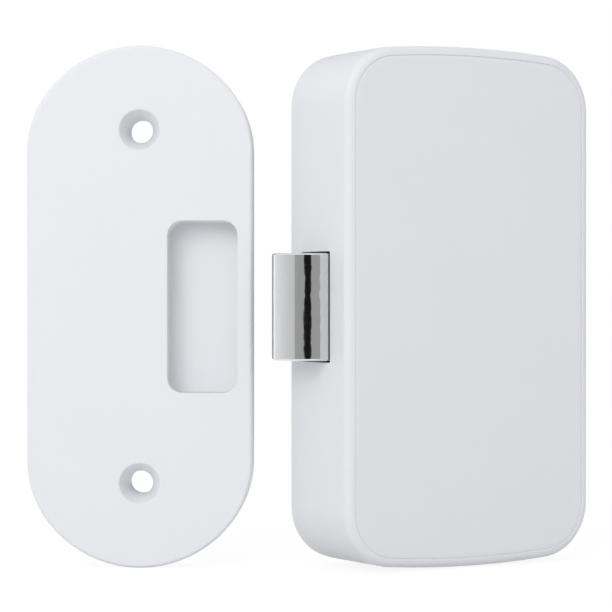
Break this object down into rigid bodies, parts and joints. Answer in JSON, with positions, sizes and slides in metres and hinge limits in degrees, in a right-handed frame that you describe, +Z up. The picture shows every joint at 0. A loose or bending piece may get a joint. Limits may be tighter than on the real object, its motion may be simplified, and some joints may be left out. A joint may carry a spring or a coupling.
{
  "type": "smart cabinet lock",
  "caption": "Flat white cabinet lock with crowned ends, a sprung chrome bolt drawn in by a motor, worm and rack, a lift-off front cover and a separate round-ended strike plate.",
  "frame": {"origin": "middle of the mounting plate's back face, which lies on the cabinet door", "axes": "+X to the right seen from the front (the bolt points to -X), +Y to the door behind the lock, +Z up"},
  "size_m": [0.0859, 0.0435, 0.0854],
  "materials": {
    "white_plastic": "satin white moulding with a very fine spark texture",
    "strike_plastic": "satin white moulding",
    "foam": "closed-cell foam",
    "zinc_steel": "bright zinc plate",
    "chrome": "chrome on a slightly wavy casting",
    "acetal": "natural acetal",
    "steel": "bright drawn steel",
    "dark_plastic": "black moulding",
    "brass": "turned brass",
    "grey_plastic": "grey moulding",
    "cell_jacket": "shrink jacket",
    "nickel": "nickel plate",
    "board": "green solder mask",
    "resin": "black moulding resin",
    "lens": "clear lens",
    "red_lead": "red wire insulation",
    "black_lead": "black wire insulation",
    "ribbon": "grey ribbon cable"
  },
  "bodies": {
    "case": {"mounting_plate": "white_plastic", "housing": "white_plastic", "strike_plate": "strike_plastic", "fixing_screw_1": "zinc_steel", "fixing_screw_2": "zinc_steel", "mechanism_plate": "zinc_steel", "plate_screw_1": "zinc_steel", "plate_screw_2": "zinc_steel", "plate_screw_3": "zinc_steel", "gear_axle": "steel", "motor_can": "steel", "motor_end_cap": "dark_plastic", "motor_terminal_1": "brass", "motor_terminal_2": "brass", "motor_bracket": "zinc_steel", "bracket_screw": "zinc_steel", "worm_bearing": "acetal", "battery_tray": "grey_plastic", "cell_1": "cell_jacket", "cell_2": "cell_jacket", "contact_negative": "nickel", "contact_positive": "nickel", "contact_bridge": "nickel", "circuit_board": "board", "board_screw_1": "zinc_steel", "board_screw_2": "zinc_steel", "processor_chip": "resin", "driver_chip": "resin", "hall_sensor": "resin", "status_led": "lens", "motor_connector": "acetal", "battery_connector": "acetal", "link_socket_1": "acetal", "capacitor": "dark_plastic", "buzzer": "resin", "switch_base": "steel", "radio_board": "board", "radio_screw_1": "zinc_steel", "radio_screw_2": "zinc_steel", "radio_module": "nickel", "link_socket_2": "acetal", "link_ribbon": "ribbon", "motor_lead_1": "red_lead", "motor_lead_2": "black_lead", "battery_lead_1": "red_lead", "battery_lead_2": "black_lead"},
    "cover": {"front_cover": "white_plastic", "battery_pad": "foam"},
    "worm": {"worm": "brass", "motor_shaft": "steel"},
    "wheel": {"worm_wheel": "acetal"},
    "carriage": {"bolt_carriage": "acetal", "bolt_spring": "steel", "position_magnet": "nickel"},
    "bolt": {"latch_bolt": "chrome"},
    "button": {"setup_button": "dark_plastic"}
  },
  "joints": [
    {"name": "cover_release", "type": "slide", "parent": "case", "child": "cover", "axis": [0, -1, 0], "range_m": [0, 0.025]},
    {"name": "worm_spin", "type": "hinge", "parent": "case", "child": "worm", "pos_m": [-0.01145, -0.0101, 0.0241], "axis": [1, 0, 0], "range_deg": [0, 2554]},
    {"name": "wheel_spin", "type": "hinge", "parent": "case", "child": "wheel", "pos_m": [-0.01145, -0.0101, 0.0161], "axis": [0, -1, 0], "range_deg": [0, 106.5]},
    {"name": "carriage_slide", "type": "slide", "parent": "case", "child": "carriage", "axis": [1, 0, 0], "range_m": [0, 0.0065]},
    {"name": "bolt_slide", "type": "slide", "parent": "carriage", "child": "bolt", "axis": [1, 0, 0], "range_m": [0, 0.0065], "stiffness_N_per_m": 300, "springref_m": -0.006, "deforming": ["bolt_spring"]},
    {"name": "button_press", "type": "slide", "parent": "case", "child": "button", "axis": [0, 1, 0], "range_m": [0, 0.00035], "stiffness_N_per_m": 2000, "springref_m": -0.0003}
  ],
  "couplings": [
    {"joint": "wheel_spin", "follows": "carriage_slide", "rad_per_m": 285.71},
    {"joint": "worm_spin", "follows": "carriage_slide", "rad_per_m": 6857.1}
  ]
}
